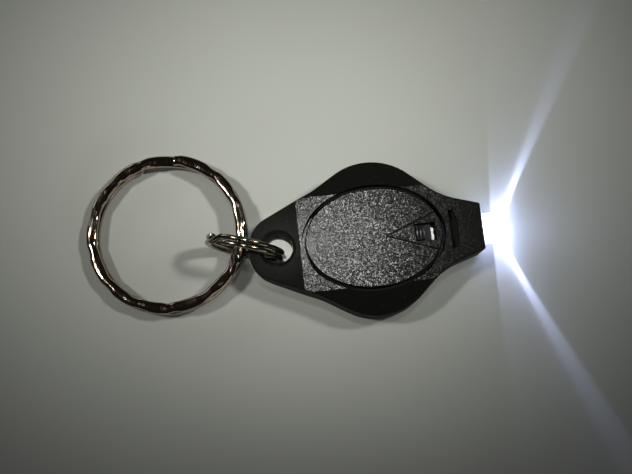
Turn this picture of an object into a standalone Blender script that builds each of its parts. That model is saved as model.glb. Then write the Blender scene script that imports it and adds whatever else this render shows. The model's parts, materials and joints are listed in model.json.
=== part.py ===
"""Keychain squeeze light: a two-cell LED case with a press pad and a slide switch, on two split rings.

Frame: origin on the underside plane below the centre of the press pad, +X towards the LED, +Z up.
"""

import math

import bmesh
import bpy
from mathutils import Matrix, Vector

MM = 0.001

# Button cells
CELL_RADIUS = 10.0 * MM
CELL_HEIGHT = 1.6 * MM
CELL_CLEARANCE = 0.3 * MM
CELL_GAP = 0.15 * MM
CELL_FLOOR = 0.7 * MM
CELL_WALL = 0.5 * MM
CELL_CRIMP_DROP = 0.2 * MM
CELL_ROUNDING = 0.25 * MM
GASKET_WALL = 0.4 * MM
GASKET_CLEARANCE = 0.12 * MM
FLOOR_THICKNESS = 0.95 * MM
CELL_SEAT_CLEARANCE = 0.2 * MM

# Leads and LED
LEAD_RADIUS = 0.2 * MM
LEAD_CLEARANCE = 0.2 * MM
LEAD_SPREAD = 1.27 * MM
LEAD_BEND_GAP = 1.5 * MM
LEAD_BEND_RUN = 1.0 * MM
LEAD_END_X = 2.0 * MM
LED_BASE_GAP = 3.9 * MM
LED_LENGTH = 8.3 * MM
LED_RADIUS = 2.5 * MM
LED_FLANGE_OVERHANG = 0.4 * MM
LED_FLANGE_LENGTH = 1.0 * MM
LED_CLEARANCE = 0.2 * MM
LENS_WALL = 0.6 * MM
LENS_POCKET_DEPTH = 4.4 * MM
CUP_DEPTH = 0.7 * MM
CUP_FLOOR = 0.3 * MM
CUP_REAR_RADIUS = 0.45 * MM
CUP_MOUTH_RADIUS = 0.8 * MM
DIE_WIDTH = 0.36 * MM
DIE_THICKNESS = 0.14 * MM
DIE_GAP = 0.08 * MM

# Press pad
PAD_GROOVE_REACH = 1.3 * MM
PAD_GROOVE_INSET = 1.75 * MM
PAD_GROOVE_WIDTH = 0.55 * MM
PAD_THICKNESS = 0.95 * MM
PAD_SKIRT_HEIGHT = 0.6 * MM
PAD_LIP_OVERLAP = 0.35 * MM
PAD_LIP_HEIGHT = 0.45 * MM
PAD_CLEARANCE = 0.2 * MM
PAD_TRAVEL = 0.4 * MM
PAD_RIM = 1.7 * MM
PAD_EDGE_ROUNDING = 0.15 * MM
ARROW_LENGTH = 7.9 * MM
ARROW_BASE_INSET = 1.4 * MM
ARROW_BASE_HALF_WIDTH = 3.0 * MM
ARROW_WIDTH = 0.28 * MM
ARROW_DEPTH = 0.3 * MM

# Slide switch
WINDOW_INSET = 1.35 * MM
WINDOW_LENGTH = 3.4 * MM
WINDOW_HALF_WIDTH = 1.45 * MM
KNOB_LENGTH = 1.3 * MM
KNOB_TOP_DROP = 0.1 * MM
KNOB_CLEARANCE = 0.3 * MM
KNOB_RIBS = 3
RIB_DEPTH = 0.35 * MM
SLIDER_TRAVEL = 1.4 * MM
SLIDER_PLATE_THICKNESS = 0.3 * MM
SLIDER_PLATE_SIDE = 0.55 * MM
SLIDER_PLATE_OVERLAP = 1.6 * MM
SLIDER_RIM_WALL = 0.07 * MM

# Case outline. It is symmetric about the XZ plane, and slopes are angles from the X axis.
SIDE_WALL = 2.2 * MM
HUMP_INSET = 0.3 * MM
HUMP_REAR_SLOPE = math.radians(32.0)
HUMP_FRONT_SLOPE = math.radians(43.0)
LUG_HOLE_GAP = 5.5 * MM
LUG_HOLE_RADIUS = 2.4 * MM
LUG_HOLE_CHAMFER = 0.6 * MM
LUG_BAR_WIDTH = 2.3 * MM
LUG_CORNER_SIDE = 1.2 * MM
LUG_END_FLAT = 0.2231 * MM
LUG_FLANK_SLOPE = math.radians(24.0)
LUG_BEND_RADIUS = 10.0 * MM
NECK_RADIUS = 13.0 * MM
NOSE_SLOPE = math.radians(17.0)
NOSE_LENGTH = 3.6 * MM
NOSE_WALL = 1.05 * MM
NOSE_CORNER_RADIUS = 0.4 * MM

# Case surfaces
PARTING_GAP = 0.2 * MM
EDGE_ROUNDING = 0.35 * MM
WING_INSET = 0.65 * MM
WING_SLOPE = math.radians(9.3)
LUG_CREASE_GAP = 1.2 * MM
LUG_TOP_SLOPE = math.radians(6.9)
CHIN_GAP = 1.4 * MM
CHIN_SLOPE = math.radians(19.0)
LED_ROOF = 0.5 * MM

# Fingernail pit
PIT_LIP = 0.625 * MM
PIT_LENGTH = 1.4 * MM
PIT_HALF_WIDTH = 3.1 * MM
PIT_DEPTH = 1.2 * MM
PIT_FLOOR_SLOPE = math.radians(20.0)
PIT_FRONT_RADIUS = 8.0 * MM

# Case screws
SCREW_WALL = 0.85 * MM
REAR_SCREW_ANGLE = math.radians(156.7)
FRONT_SCREW_ANGLE = math.radians(18.0)
SCREW_HEAD_RADIUS = 1.0 * MM
SCREW_HEAD_HEIGHT = 0.7 * MM
SCREW_HEAD_RECESS = 0.25 * MM
SCREW_SHAFT_RADIUS = 0.6 * MM
SCREW_LENGTH = 5.0 * MM
SCREW_CLEARANCE = 0.25 * MM
CROSS_WIDTH = 0.3 * MM
CROSS_LENGTH = 1.1 * MM
CROSS_DEPTH = 0.35 * MM

# Split rings: each is one flat wire wound for two turns
SMALL_RING_RADIUS = 6.4 * MM
RING_ROOM_IN_HOLE = 1.3 * MM
SMALL_WIRE_HEIGHT = 0.8 * MM
SMALL_COIL_GAP = 0.1 * MM
SMALL_RING_BAR_GAP = 0.1922 * MM
SMALL_RING_HOLE_Y = -0.9896 * MM
SMALL_RING_YAW = math.radians(-18.0)
LARGE_RING_RADIUS = 13.25 * MM
LARGE_WIRE_WIDTH = 1.9 * MM
LARGE_WIRE_HEIGHT = 1.3 * MM
LARGE_COIL_GAP = 0.1 * MM
LARGE_RING_YAW = math.radians(-19.0)
RING_LINK_CLEARANCE = 0.55 * MM
COIL_END_GAP = math.radians(27.0)
HAMMER_MARKS = 13
HAMMER_DEPTH = 0.05

# Heights worked out from the floor up: leads, two cells, room for the pad's travel, and the pad
LOWER_CELL_Z = FLOOR_THICKNESS + CELL_SEAT_CLEARANCE
UPPER_CELL_Z = LOWER_CELL_Z + CELL_HEIGHT + CELL_GAP
CELL_STACK_TOP = UPPER_CELL_Z + CELL_HEIGHT
LOWER_LEAD_Z = LOWER_CELL_Z - CELL_GAP - LEAD_RADIUS
UPPER_LEAD_Z = CELL_STACK_TOP + CELL_GAP + LEAD_RADIUS
STACK_HEIGHT = (
    UPPER_LEAD_Z + LEAD_RADIUS + PAD_CLEARANCE + PAD_TRAVEL + PAD_SKIRT_HEIGHT + PAD_THICKNESS
)
LED_FLANGE_RADIUS = LED_RADIUS + LED_FLANGE_OVERHANG
LED_HEIGHT = 2 * (LED_FLANGE_RADIUS + LED_CLEARANCE + LED_ROOF)
CASE_HEIGHT = max(STACK_HEIGHT, LED_HEIGHT)
PARTING_Z = CASE_HEIGHT / 2
PARTING_TOP = PARTING_Z + PARTING_GAP / 2
PARTING_BOTTOM = PARTING_Z - PARTING_GAP / 2
PAD_BOTTOM = CASE_HEIGHT - PAD_THICKNESS - PAD_SKIRT_HEIGHT

# Places worked out from the cells outwards
POCKET_RADIUS = CELL_RADIUS + CELL_CLEARANCE
CASE_HALF_WIDTH = POCKET_RADIUS + SIDE_WALL
HUMP_RADIUS = CELL_RADIUS - HUMP_INSET
PAD_GROOVE_X = CELL_RADIUS + PAD_GROOVE_REACH
PAD_GROOVE_Y = CELL_RADIUS - PAD_GROOVE_INSET
PAD_X = PAD_GROOVE_X - PAD_GROOVE_WIDTH / 2
PAD_Y = PAD_GROOVE_Y - PAD_GROOVE_WIDTH / 2
OPENING_X = PAD_GROOVE_X + PAD_GROOVE_WIDTH / 2
OPENING_Y = PAD_GROOVE_Y + PAD_GROOVE_WIDTH / 2
LIP_Y = OPENING_Y + PAD_LIP_OVERLAP
WING_START_Y = PAD_GROOVE_Y - WING_INSET
ARROW_TIP_X = PAD_GROOVE_X - ARROW_BASE_INSET - ARROW_LENGTH
WINDOW_REAR_X = PAD_GROOVE_X - WINDOW_INSET - WINDOW_LENGTH
KNOB_REAR_X = WINDOW_REAR_X + KNOB_CLEARANCE
SLIDER_PLATE_HALF_WIDTH = WINDOW_HALF_WIDTH + SLIDER_PLATE_SIDE
SLIDER_FRONT_X = PAD_X - SLIDER_RIM_WALL - KNOB_CLEARANCE - SLIDER_TRAVEL
PIT_REAR_X = OPENING_X + PIT_LIP
LUG_HOLE_X = -CELL_RADIUS - LUG_HOLE_GAP
LUG_END_X = LUG_HOLE_X - LUG_HOLE_RADIUS - LUG_BAR_WIDTH
LUG_CREASE_X = LUG_HOLE_X + LUG_HOLE_RADIUS + LUG_CREASE_GAP
CHIN_START_X = LUG_HOLE_X + LUG_HOLE_RADIUS + CHIN_GAP
LUG_CORNER_HALF_WIDTH = LUG_HOLE_RADIUS + LUG_CORNER_SIDE
LUG_CORNER_RADIUS = (LUG_CORNER_HALF_WIDTH - LUG_END_FLAT) * math.tan(math.pi / 4 + LUG_FLANK_SLOPE / 2)
LED_BASE_X = CELL_RADIUS + LED_BASE_GAP
LEAD_BEND_X = LED_BASE_X - LEAD_BEND_GAP
LENS_POCKET_RADIUS = LED_RADIUS - LENS_WALL
NOSE_END_X = LED_BASE_X + NOSE_LENGTH
NOSE_HALF_WIDTH = LED_RADIUS + LED_CLEARANCE + NOSE_WALL
SCREW_SEAT_RADIUS = SCREW_HEAD_RADIUS + SCREW_CLEARANCE
SCREW_CIRCLE_RADIUS = POCKET_RADIUS + SCREW_WALL + SCREW_SEAT_RADIUS
LUG_BAR_INNER_X = LUG_HOLE_X - LUG_HOLE_RADIUS
LUG_BAR_UNDER_Z = (CHIN_START_X - LUG_BAR_INNER_X) * math.tan(CHIN_SLOPE)
SMALL_WIRE_WIDTH = LUG_HOLE_RADIUS - RING_ROOM_IN_HOLE
SMALL_RING_INNER_RADIUS = SMALL_RING_RADIUS - SMALL_WIRE_WIDTH
SMALL_RING_BAR_REACH = math.sqrt(SMALL_RING_INNER_RADIUS ** 2 - (SMALL_RING_RADIUS - LUG_BAR_UNDER_Z) ** 2)
SMALL_RING_X = LUG_BAR_INNER_X + SMALL_RING_BAR_GAP - SMALL_RING_BAR_REACH * math.cos(SMALL_RING_YAW)
SMALL_RING_Y = SMALL_RING_HOLE_Y - (LUG_HOLE_X - SMALL_RING_X) * math.tan(SMALL_RING_YAW)


def clear_scene():
    for obj in list(bpy.data.objects):
        bpy.data.objects.remove(obj, do_unlink=True)


def new_collection(name):
    collection = bpy.data.collections.new(name)
    bpy.context.scene.collection.children.link(collection)
    return collection


clear_scene()
PARTS = new_collection("keychain_flashlight")
CUTTERS = new_collection("cutters")
CUTTERS.hide_render = True


# Helpers

def material(name, colour, roughness, metallic=0.0):
    made = bpy.data.materials.new(name)
    made.use_nodes = True
    shader = made.node_tree.nodes["Principled BSDF"]
    shader.inputs["Base Color"].default_value = (*colour, 1.0)
    shader.inputs["Roughness"].default_value = roughness
    shader.inputs["Metallic"].default_value = metallic
    return made


def finish_part(obj, name, colour, roughness, metallic=0.0, smooth_angle=30.0):
    """Names a part, gives it its material and smooth shading, and puts it in the parts' collection."""
    obj.name = name
    obj.data.name = name
    obj.data.materials.clear()
    obj.data.materials.append(material(name, colour, roughness, metallic))
    obj.data.shade_smooth()
    obj.data.set_sharp_from_angle(angle=math.radians(smooth_angle))
    for collection in list(obj.users_collection):
        collection.objects.unlink(obj)
    PARTS.objects.link(obj)
    obj.display_type = "TEXTURED"
    return obj


def from_bmesh(mesh, name):
    """A helper object from a bmesh; finish_part later makes some of them parts."""
    bmesh.ops.recalc_face_normals(mesh, faces=mesh.faces)
    data = bpy.data.meshes.new(name)
    mesh.to_mesh(data)
    mesh.free()
    obj = bpy.data.objects.new(name, data)
    CUTTERS.objects.link(obj)
    obj.display_type = "WIRE"
    return obj


def as_mesh(obj):
    """The evaluated mesh of an object, with its loose caps welded and its flat faces joined."""
    bpy.context.view_layer.update()
    graph = bpy.context.evaluated_depsgraph_get()
    data = bpy.data.meshes.new_from_object(obj.evaluated_get(graph))
    data.transform(obj.matrix_world)
    mesh = bmesh.new()
    mesh.from_mesh(data)
    bmesh.ops.remove_doubles(mesh, verts=mesh.verts, dist=0.001 * MM)
    bmesh.ops.dissolve_limit(mesh, angle_limit=math.radians(0.2), verts=mesh.verts, edges=mesh.edges)
    name = obj.name
    bpy.data.objects.remove(obj, do_unlink=True)
    return from_bmesh(mesh, name)


def plate(name, outline, low, high):
    """A flat outline filled between two heights."""
    curve = bpy.data.curves.new(name, "CURVE")
    curve.dimensions = "2D"
    curve.fill_mode = "BOTH"
    curve.extrude = (high - low) / 2
    spline = curve.splines.new("POLY")
    spline.points.add(len(outline) - 1)
    for point, place in zip(spline.points, outline):
        point.co = (place[0], place[1], 0.0, 1.0)
    spline.use_cyclic_u = True
    obj = bpy.data.objects.new(name, curve)
    obj.location.z = (low + high) / 2
    CUTTERS.objects.link(obj)
    return as_mesh(obj)


def box(name, low, high):
    mesh = bmesh.new()
    bmesh.ops.create_cube(mesh, size=1.0)
    low = Vector(low)
    high = Vector(high)
    bmesh.ops.scale(mesh, vec=high - low, verts=mesh.verts)
    bmesh.ops.translate(mesh, vec=(low + high) / 2, verts=mesh.verts)
    return from_bmesh(mesh, name)


def cylinder(name, centre, axis, radius, length, end_radius=None, steps=32):
    """A cylinder, or a cone if end_radius is given, that starts at centre and runs along axis."""
    mesh = bmesh.new()
    end_radius = radius if end_radius is None else end_radius
    bmesh.ops.create_cone(
        mesh, cap_ends=True, segments=steps, radius1=radius, radius2=end_radius, depth=length
    )
    bmesh.ops.translate(mesh, vec=(0.0, 0.0, length / 2), verts=mesh.verts)
    turn = Vector(axis).to_track_quat("Z", "Y").to_matrix().to_4x4()
    bmesh.ops.transform(mesh, matrix=Matrix.Translation(centre) @ turn, verts=mesh.verts)
    return from_bmesh(mesh, name)


def combine(obj, tool, operation="DIFFERENCE"):
    """Cuts a tool from an object, or joins it on, and removes the tool."""
    modifier = obj.modifiers.new(tool.name, "BOOLEAN")
    modifier.operation = operation
    modifier.object = tool
    name = obj.name
    merged = as_mesh(obj)
    merged.name = name
    bpy.data.objects.remove(tool, do_unlink=True)
    return merged


def cut(obj, *tools):
    for tool in tools:
        obj = combine(obj, tool)
    return obj


def join(obj, *tools):
    for tool in tools:
        obj = combine(obj, tool, "UNION")
    return obj


def slice_off(obj, point, normal):
    """Removes what lies beyond a plane and closes the section."""
    mesh = bmesh.new()
    mesh.from_mesh(obj.data)
    geometry = mesh.verts[:] + mesh.edges[:] + mesh.faces[:]
    result = bmesh.ops.bisect_plane(
        mesh, geom=geometry, plane_co=point, plane_no=normal, clear_outer=True
    )
    rim = [item for item in result["geom_cut"] if isinstance(item, bmesh.types.BMEdge)]
    bmesh.ops.contextual_create(mesh, geom=rim)
    bmesh.ops.recalc_face_normals(mesh, faces=mesh.faces)
    mesh.to_mesh(obj.data)
    mesh.free()


def round_rim(obj, width, side, segments=2):
    """Rounds the edges between the walls and the top (side 1) or the bottom (side -1) of a plate."""
    mesh = bmesh.new()
    mesh.from_mesh(obj.data)
    mesh.normal_update()
    rim = []
    for edge in mesh.edges:
        heights = sorted(face.normal.z * side for face in edge.link_faces)
        if heights[0] < 0.1 and heights[1] > 0.9:
            rim.append(edge)
    bmesh.ops.bevel(
        mesh, geom=rim, offset=width, offset_type="OFFSET", affect="EDGES", segments=segments,
        profile=0.5, material=-1, clamp_overlap=True,
    )
    mesh.to_mesh(obj.data)
    mesh.free()


def turned(name, profile, steps=40):
    """A profile of (radius, height) points turned about Z; it runs down its outer side."""
    curve = bpy.data.meshes.new(name)
    places = [(radius, 0.0, height) for radius, height in profile]
    closed = profile[0][0] > 0.0
    links = [(index, index + 1) for index in range(len(places) - 1)]
    if closed:
        links.append((len(places) - 1, 0))
    curve.from_pydata(places, links, [])
    obj = bpy.data.objects.new(name, curve)
    screw = obj.modifiers.new("turn", "SCREW")
    screw.steps = steps
    screw.render_steps = steps
    screw.use_merge_vertices = True
    screw.merge_threshold = 0.001 * MM
    CUTTERS.objects.link(obj)
    return as_mesh(obj)


def ellipse(half_x, half_y, steps=64):
    turns = [2 * math.pi * index / steps for index in range(steps)]
    return [(half_x * math.cos(turn), half_y * math.sin(turn)) for turn in turns]


# Case outline

def arc(before, corner, after, radius, steps):
    """The points of the arc that rounds one corner of an outline."""
    back = (before - corner).normalized()
    ahead = (after - corner).normalized()
    half = back.angle(ahead) / 2
    centre = corner + (back + ahead).normalized() * radius / math.sin(half)
    start = (corner + back * radius / math.tan(half) - centre).normalized()
    end = (corner + ahead * radius / math.tan(half) - centre).normalized()
    return [centre + start.slerp(end, index / steps) * radius for index in range(steps + 1)]


def crossing(point_a, slope_a, point_b, slope_b):
    """Where two lines meet, each given by a point and its angle from the X axis."""
    rise_a = math.tan(slope_a)
    rise_b = math.tan(slope_b)
    x = (point_b.y - point_a.y + rise_a * point_a.x - rise_b * point_b.x) / (rise_a - rise_b)
    return Vector((x, point_a.y + rise_a * (x - point_a.x), 0.0))


def case_outline():
    """The case seen from above: rounded lug, round hump over the cells, hollow neck and square nose."""
    hump_centre = Vector((0.0, CASE_HALF_WIDTH - HUMP_RADIUS, 0.0))
    lean = (HUMP_REAR_SLOPE - HUMP_FRONT_SLOPE) / 2
    spread = (HUMP_REAR_SLOPE + HUMP_FRONT_SLOPE) / 2
    towards = Vector((-math.sin(lean), math.cos(lean), 0.0))
    hump = hump_centre + towards * HUMP_RADIUS / math.cos(spread)
    lug = Vector((LUG_END_X, LUG_CORNER_HALF_WIDTH, 0.0))
    nose = Vector((NOSE_END_X, NOSE_HALF_WIDTH, 0.0))
    bend = crossing(lug, LUG_FLANK_SLOPE, hump, HUMP_REAR_SLOPE)
    neck = crossing(hump, -HUMP_FRONT_SLOPE, nose, -NOSE_SLOPE)
    corners = [
        (lug, LUG_CORNER_RADIUS, 8),
        (bend, LUG_BEND_RADIUS, 2),
        (hump, HUMP_RADIUS, 14),
        (neck, NECK_RADIUS, 5),
        (nose, NOSE_CORNER_RADIUS, 3),
    ]
    places = [corner for corner, _, _ in corners]
    lug_mirror = Vector((lug.x, -lug.y, 0.0))
    nose_mirror = Vector((nose.x, -nose.y, 0.0))
    befores = [lug_mirror] + places[:-1]
    afters = places[1:] + [nose_mirror]
    half = []
    for before, (corner, radius, steps), after in zip(befores, corners, afters):
        half += arc(before, corner, after, radius, steps)
    upper = [(point.x, point.y) for point in half]
    lower = [(x, -y) for x, y in reversed(upper)]
    return upper + lower


def lug_top_z(x):
    return CASE_HEIGHT + (x - LUG_CREASE_X) * math.tan(LUG_TOP_SLOPE)


def lug_bottom_z(x):
    return (CHIN_START_X - x) * math.tan(CHIN_SLOPE)


def lug_hole_tools():
    """The hole through the lug, and its chamfers square to the lug's sloping faces."""
    bore = cylinder("bore", (LUG_HOLE_X, 0.0, -MM), (0, 0, 1), LUG_HOLE_RADIUS, CASE_HEIGHT + 2 * MM)
    up = Vector((-math.sin(LUG_TOP_SLOPE), 0.0, math.cos(LUG_TOP_SLOPE)))
    down = Vector((-math.sin(CHIN_SLOPE), 0.0, -math.cos(CHIN_SLOPE)))
    tools = [bore]
    for way, height in ((up, lug_top_z(LUG_HOLE_X)), (down, lug_bottom_z(LUG_HOLE_X))):
        face = Vector((LUG_HOLE_X, 0.0, height))
        start = face - way * LUG_HOLE_CHAMFER
        tools.append(
            cylinder(
                "chamfer", start, way, LUG_HOLE_RADIUS, 3 * LUG_HOLE_CHAMFER,
                LUG_HOLE_RADIUS + 3 * LUG_HOLE_CHAMFER,
            )
        )
    return tools


def screw_places():
    for angle in (REAR_SCREW_ANGLE, FRONT_SCREW_ANGLE):
        x = SCREW_CIRCLE_RADIUS * math.cos(angle)
        y = SCREW_CIRCLE_RADIUS * math.sin(angle)
        yield x, y
        yield x, -y


def nose_tools():
    """The bore for the LED, the wider pocket for its flange, and the channel that its leads pass."""
    axis_z = PARTING_Z
    bore_radius = LED_RADIUS + LED_CLEARANCE
    flange_radius = LED_FLANGE_RADIUS + LED_CLEARANCE
    flange_start = LED_BASE_X - LED_CLEARANCE
    flange_room = LED_FLANGE_LENGTH + 2 * LED_CLEARANCE
    lead_room = LEAD_SPREAD + LEAD_RADIUS + LED_CLEARANCE
    bore = cylinder("bore", (LED_BASE_X, 0.0, axis_z), (1, 0, 0), bore_radius, NOSE_LENGTH + MM)
    flange = cylinder("flange", (flange_start, 0.0, axis_z), (1, 0, 0), flange_radius, flange_room)
    channel = box(
        "channel",
        (CELL_RADIUS - CELL_CLEARANCE, -lead_room, LOWER_LEAD_Z - LEAD_RADIUS - LEAD_CLEARANCE),
        (LED_BASE_X, lead_room, UPPER_LEAD_Z + LEAD_RADIUS + LEAD_CLEARANCE),
    )
    return [bore, flange, channel]


# Case

def make_top_shell():
    shell = plate("top_shell", case_outline(), PARTING_TOP, CASE_HEIGHT)
    for side in (1, -1):
        normal = (0.0, side * math.sin(WING_SLOPE), math.cos(WING_SLOPE))
        slice_off(shell, (0.0, side * WING_START_Y, CASE_HEIGHT), normal)
    slope = (-math.sin(LUG_TOP_SLOPE), 0.0, math.cos(LUG_TOP_SLOPE))
    slice_off(shell, (LUG_CREASE_X, 0.0, CASE_HEIGHT), slope)
    round_rim(shell, EDGE_ROUNDING, 1)
    roof = CASE_HEIGHT - PAD_THICKNESS
    ceiling = roof + PAD_CLEARANCE / 2
    recess_low = PAD_BOTTOM - PAD_TRAVEL - PAD_CLEARANCE
    shell = cut(
        shell,
        plate("opening", ellipse(OPENING_X, OPENING_Y), recess_low, CASE_HEIGHT + MM),
        plate("recess", ellipse(PAD_X + PAD_CLEARANCE, LIP_Y + PAD_CLEARANCE), recess_low, ceiling),
        cylinder("pocket", (0.0, 0.0, PARTING_Z - MM), (0, 0, 1), POCKET_RADIUS,
                 recess_low + 0.1 * MM - PARTING_Z + MM, steps=64),
        pit_tool(),
        *nose_tools(),
        *lug_hole_tools(),
    )
    screw_tip = SCREW_HEAD_RECESS + SCREW_LENGTH
    radius = SCREW_SHAFT_RADIUS + SCREW_CLEARANCE
    for x, y in screw_places():
        hole = cylinder("pilot", (x, y, 0.0), (0, 0, 1), radius, screw_tip + SCREW_CLEARANCE, steps=12)
        shell = cut(shell, hole)
    finish_part(shell, "top_shell", (0.035, 0.035, 0.032), 0.5)


def pit_outline():
    """A straight rear edge by the pad's lip, and a front edge that bows gently towards the nose."""
    sweep = math.asin(PIT_HALF_WIDTH / PIT_FRONT_RADIUS)
    centre_x = PIT_REAR_X + PIT_LENGTH - PIT_FRONT_RADIUS
    steps = 6
    angles = [-sweep + 2 * sweep * index / steps for index in range(steps + 1)]
    front = [
        (centre_x + PIT_FRONT_RADIUS * math.cos(angle), PIT_FRONT_RADIUS * math.sin(angle))
        for angle in angles
    ]
    return [(PIT_REAR_X, -PIT_HALF_WIDTH)] + front + [(PIT_REAR_X, PIT_HALF_WIDTH)]


def pit_tool():
    """The pit is deepest by the pad's lip and its floor rises towards the nose."""
    floor_z = CASE_HEIGHT - PIT_DEPTH
    pit = plate("pit", pit_outline(), floor_z, CASE_HEIGHT + MM)
    normal = (math.sin(PIT_FLOOR_SLOPE), 0.0, -math.cos(PIT_FLOOR_SLOPE))
    slice_off(pit, (PIT_REAR_X, 0.0, floor_z), normal)
    return pit


def make_bottom_shell():
    shell = plate("bottom_shell", case_outline(), 0.0, PARTING_BOTTOM)
    round_rim(shell, EDGE_ROUNDING, -1)
    chin = (-math.sin(CHIN_SLOPE), 0.0, -math.cos(CHIN_SLOPE))
    slice_off(shell, (CHIN_START_X, 0.0, 0.0), chin)
    groove_bottom = LOWER_LEAD_Z - LEAD_RADIUS - LEAD_CLEARANCE
    groove_half = LEAD_RADIUS + LEAD_CLEARANCE
    groove = box(
        "lead_groove",
        (LEAD_END_X - groove_half, LEAD_SPREAD - groove_half, groove_bottom),
        (CELL_RADIUS, LEAD_SPREAD + groove_half, FLOOR_THICKNESS + MM),
    )
    shell = cut(
        shell,
        cylinder("pocket", (0.0, 0.0, FLOOR_THICKNESS), (0, 0, 1), POCKET_RADIUS,
                 PARTING_Z + MM - FLOOR_THICKNESS, steps=64),
        groove,
        *nose_tools(),
        *lug_hole_tools(),
    )
    head_room = SCREW_HEAD_RECESS + SCREW_HEAD_HEIGHT + SCREW_CLEARANCE
    shaft_radius = SCREW_SHAFT_RADIUS + SCREW_CLEARANCE
    for x, y in screw_places():
        seat = cylinder("seat", (x, y, -MM), (0, 0, 1), SCREW_SEAT_RADIUS, head_room + MM, steps=20)
        hole = cylinder("hole", (x, y, 0.0), (0, 0, 1), shaft_radius, CASE_HEIGHT, steps=12)
        shell = cut(shell, seat, hole)
    finish_part(shell, "bottom_shell", (0.03, 0.03, 0.028), 0.5)


def make_screws():
    for index, (x, y) in enumerate(screw_places(), start=1):
        name = f"case_screw_{index}"
        head_z = SCREW_HEAD_RECESS
        head = cylinder(name, (x, y, head_z), (0, 0, 1), SCREW_HEAD_RADIUS, SCREW_HEAD_HEIGHT, steps=16)
        shaft = cylinder("shaft", (x, y, head_z + CROSS_DEPTH), (0, 0, 1), SCREW_SHAFT_RADIUS,
                         SCREW_LENGTH - CROSS_DEPTH, steps=12)
        screw = join(head, shaft)
        for half_x, half_y in ((CROSS_LENGTH / 2, CROSS_WIDTH / 2), (CROSS_WIDTH / 2, CROSS_LENGTH / 2)):
            slot = box(
                "slot",
                (x - half_x, y - half_y, head_z - MM),
                (x + half_x, y + half_y, head_z + CROSS_DEPTH),
            )
            screw = cut(screw, slot)
        finish_part(screw, name, (0.55, 0.55, 0.57), 0.35, 1.0)


# Press pad and slide switch

def arrow_grooves():
    """Two shallow grooves that meet at a point and widen towards the LED, on both sides of the window."""
    tools = []
    angle = math.atan2(ARROW_BASE_HALF_WIDTH, ARROW_LENGTH)
    length = math.hypot(ARROW_BASE_HALF_WIDTH, ARROW_LENGTH) + MM
    for side in (1, -1):
        groove = box(
            "arrow",
            (0.0, -ARROW_WIDTH / 2, -ARROW_DEPTH),
            (length, ARROW_WIDTH / 2, ARROW_DEPTH),
        )
        turn = Matrix.Rotation(side * angle, 4, "Z")
        groove.data.transform(Matrix.Translation((ARROW_TIP_X, 0.0, CASE_HEIGHT)) @ turn)
        tools.append(groove)
    return tools


def make_press_pad():
    pad = plate("press_pad", ellipse(PAD_X, PAD_Y), PAD_BOTTOM, CASE_HEIGHT)
    round_rim(pad, PAD_EDGE_ROUNDING, 1, segments=1)
    lip_x = PAD_X - PAD_CLEARANCE / 2
    pad = join(pad, plate("lip", ellipse(lip_x, LIP_Y), PAD_BOTTOM, PAD_BOTTOM + PAD_LIP_HEIGHT))
    skin_bottom = CASE_HEIGHT - PAD_THICKNESS
    hollow = plate("hollow", ellipse(PAD_X - PAD_RIM, PAD_Y - PAD_RIM), PAD_BOTTOM - MM, skin_bottom)
    channel_half = SLIDER_PLATE_HALF_WIDTH + KNOB_CLEARANCE
    channel = box(
        "channel",
        (0.0, -channel_half, PAD_BOTTOM - MM),
        (SLIDER_FRONT_X + SLIDER_TRAVEL + KNOB_CLEARANCE, channel_half, skin_bottom),
    )
    window = box(
        "window",
        (WINDOW_REAR_X, -WINDOW_HALF_WIDTH, PAD_BOTTOM - MM),
        (WINDOW_REAR_X + WINDOW_LENGTH, WINDOW_HALF_WIDTH, CASE_HEIGHT + MM),
    )
    pad = cut(pad, hollow, channel, window, *arrow_grooves())
    finish_part(pad, "press_pad", (0.04, 0.04, 0.036), 0.5)


def make_switch_slider():
    skin_bottom = CASE_HEIGHT - PAD_THICKNESS
    plate_top = skin_bottom - PAD_CLEARANCE
    plate_low = plate_top - SLIDER_PLATE_THICKNESS
    knob_half = WINDOW_HALF_WIDTH - KNOB_CLEARANCE
    base = box(
        "switch_slider",
        (KNOB_REAR_X - SLIDER_PLATE_OVERLAP, -SLIDER_PLATE_HALF_WIDTH, plate_low),
        (SLIDER_FRONT_X, SLIDER_PLATE_HALF_WIDTH, plate_top),
    )
    knob_top = CASE_HEIGHT - KNOB_TOP_DROP
    knob = box(
        "knob",
        (KNOB_REAR_X, -knob_half, plate_low + SLIDER_PLATE_THICKNESS / 2),
        (KNOB_REAR_X + KNOB_LENGTH, knob_half, knob_top),
    )
    slider = join(base, knob)
    pitch = KNOB_LENGTH / (2 * KNOB_RIBS - 1)
    for index in range(KNOB_RIBS - 1):
        rear = KNOB_REAR_X + (2 * index + 1) * pitch
        valley = box(
            "valley",
            (rear, -2 * knob_half, knob_top - RIB_DEPTH),
            (rear + pitch, 2 * knob_half, knob_top + MM),
        )
        slider = cut(slider, valley)
    finish_part(slider, "switch_slider", (0.02, 0.02, 0.024), 0.25)


# Cells

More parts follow.
